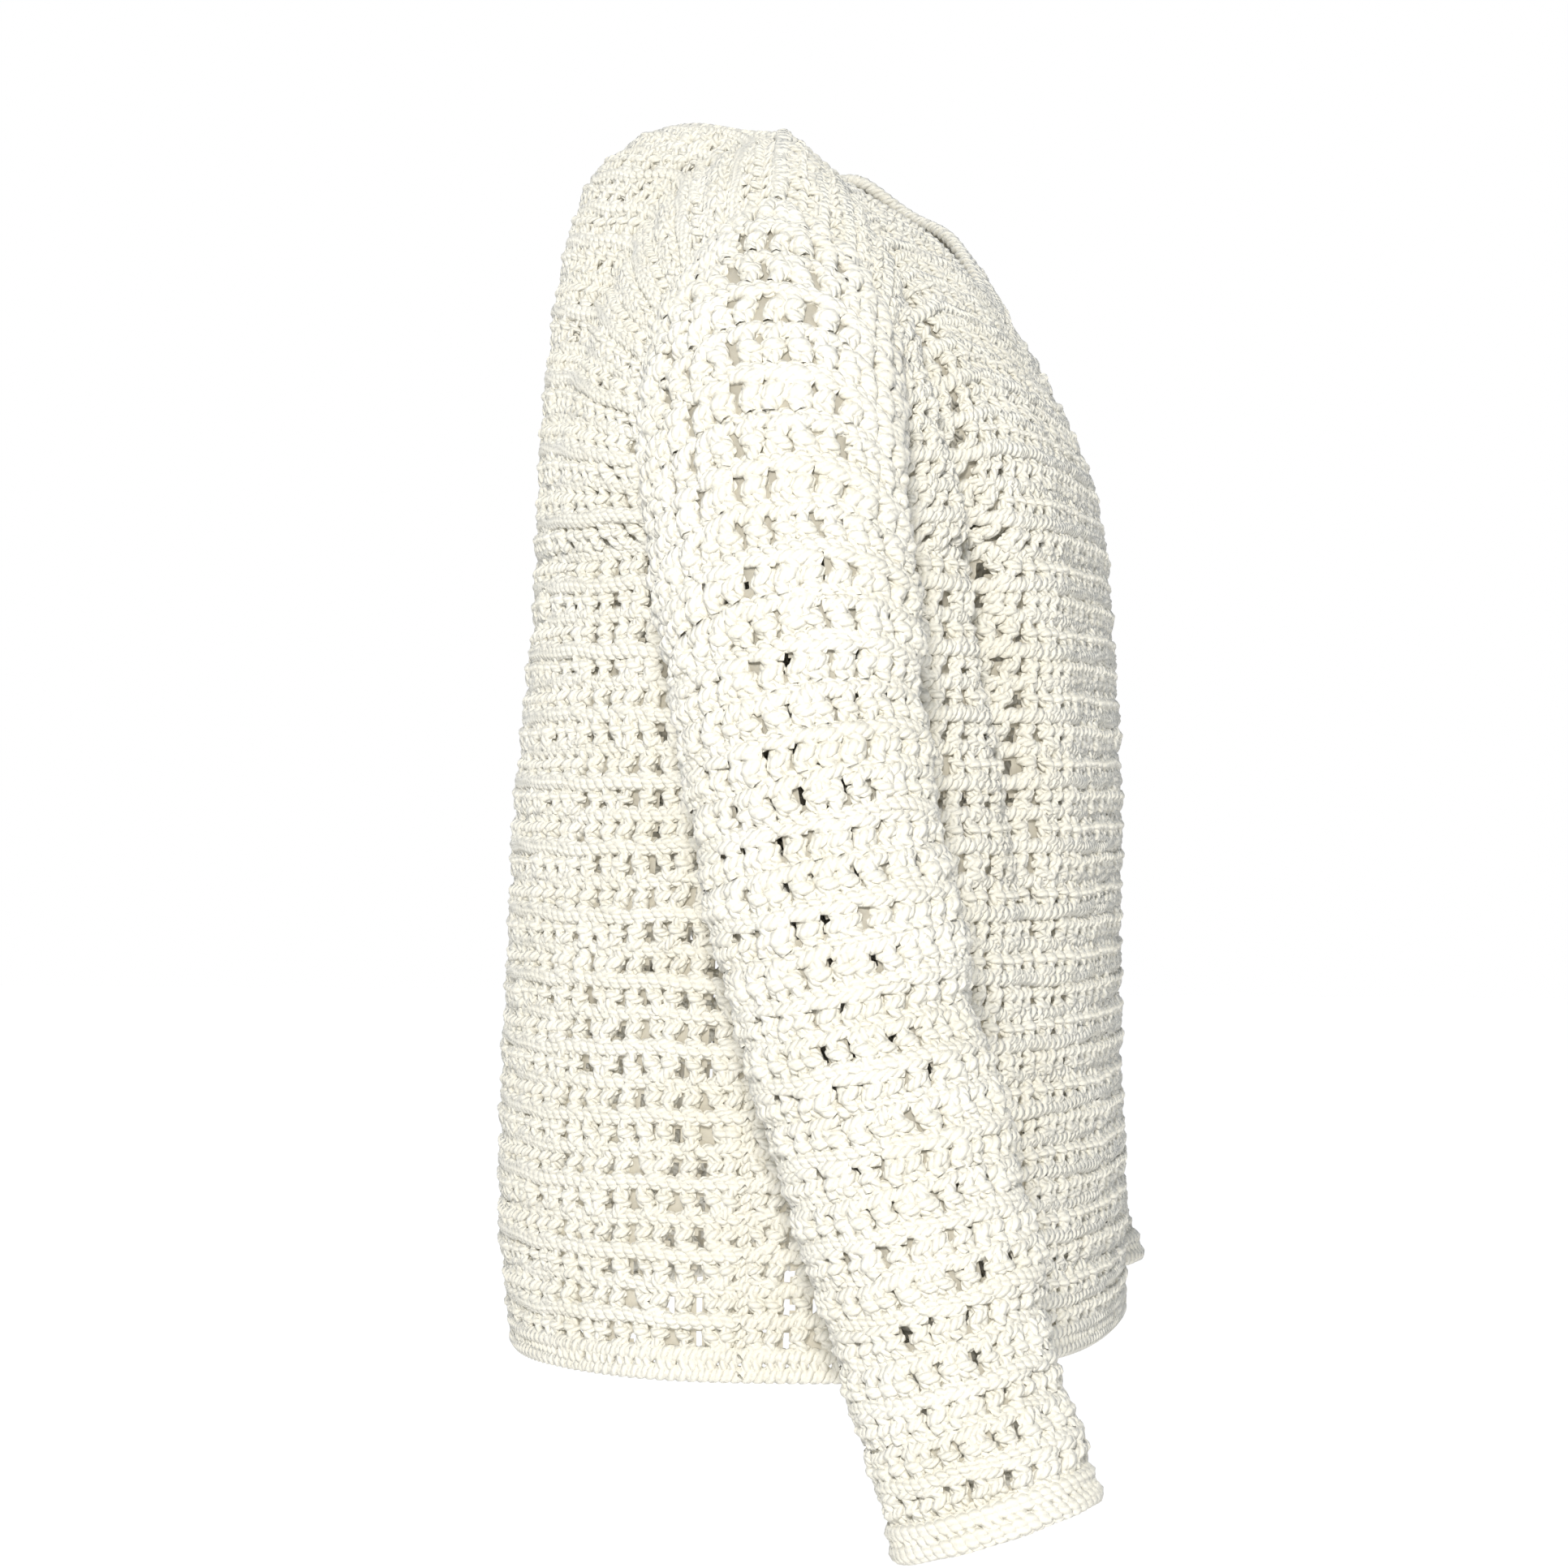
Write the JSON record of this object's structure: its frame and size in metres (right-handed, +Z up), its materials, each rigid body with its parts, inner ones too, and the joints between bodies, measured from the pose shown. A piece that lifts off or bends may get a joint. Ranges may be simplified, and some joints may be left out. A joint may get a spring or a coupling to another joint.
{
  "type": "crocheted pullover",
  "caption": "Long-sleeved pullover crocheted in chunky yarn, with a wide round neck, drop shoulders, a straight body and loose sleeves that end in a thick border.",
  "frame": {"origin": "middle of the neck opening at shoulder height, where the shoulders of a wearer or body form carry the pullover", "axes": "+Z up, the wearer faces -Y, the wearer's right side is -X"},
  "size_m": [0.658, 0.3193, 0.664],
  "materials": {
    "body_yarn": "soft",
    "border_yarn": "soft",
    "seam_yarn": "soft"
  },
  "bodies": {
    "torso": {"front_panel": "body_yarn", "back_panel": "body_yarn", "neck_edging": "border_yarn", "hem_edging": "border_yarn", "shoulder_seam_right": "seam_yarn", "shoulder_seam_left": "seam_yarn", "side_seam_right": "seam_yarn", "side_seam_left": "seam_yarn", "armhole_seam_right": "seam_yarn", "armhole_seam_left": "seam_yarn"},
    "right_sleeve": {"right_sleeve": "body_yarn", "sleeve_seam_right": "seam_yarn", "right_cuff_edging": "border_yarn"},
    "left_sleeve": {"left_sleeve": "body_yarn", "sleeve_seam_left": "seam_yarn", "left_cuff_edging": "border_yarn"}
  },
  "joints": [
    {"name": "right_sleeve_raise", "type": "hinge", "parent": "torso", "child": "right_sleeve", "pos_m": [-0.2316, -0.02, -0.058], "axis": [0, 1, 0], "range_deg": [0, 40]},
    {"name": "left_sleeve_raise", "type": "hinge", "parent": "torso", "child": "left_sleeve", "pos_m": [0.2316, -0.02, -0.058], "axis": [0, -1, 0], "range_deg": [0, 40]}
  ]
}
